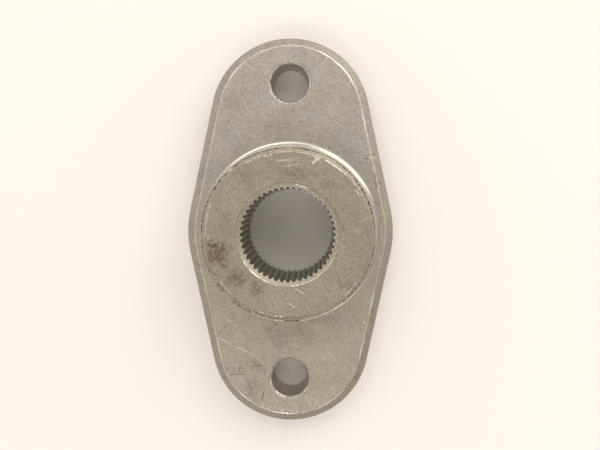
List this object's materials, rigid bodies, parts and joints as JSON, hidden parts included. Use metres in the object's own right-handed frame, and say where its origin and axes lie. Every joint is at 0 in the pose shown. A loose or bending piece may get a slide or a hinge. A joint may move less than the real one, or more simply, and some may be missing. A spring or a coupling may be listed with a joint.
{
  "type": "mower blade adapter",
  "caption": "Lobed steel flange with blade bolt holes and a round hub whose serrated bore slides onto a mower engine's shaft.",
  "frame": {"origin": "centre of the serrated bore at the flat underside", "axes": "+Z along the bore towards the hub's end face, +Y along the flange from bolt hole to bolt hole, +X across the flange"},
  "size_m": [0.0448, 0.0832, 0.021],
  "materials": {
    "sintered_steel": "matte sintered grey, oiled, with worn bright edges"
  },
  "bodies": {
    "root": {"blade_adapter": "sintered_steel"}
  },
  "joints": []
}
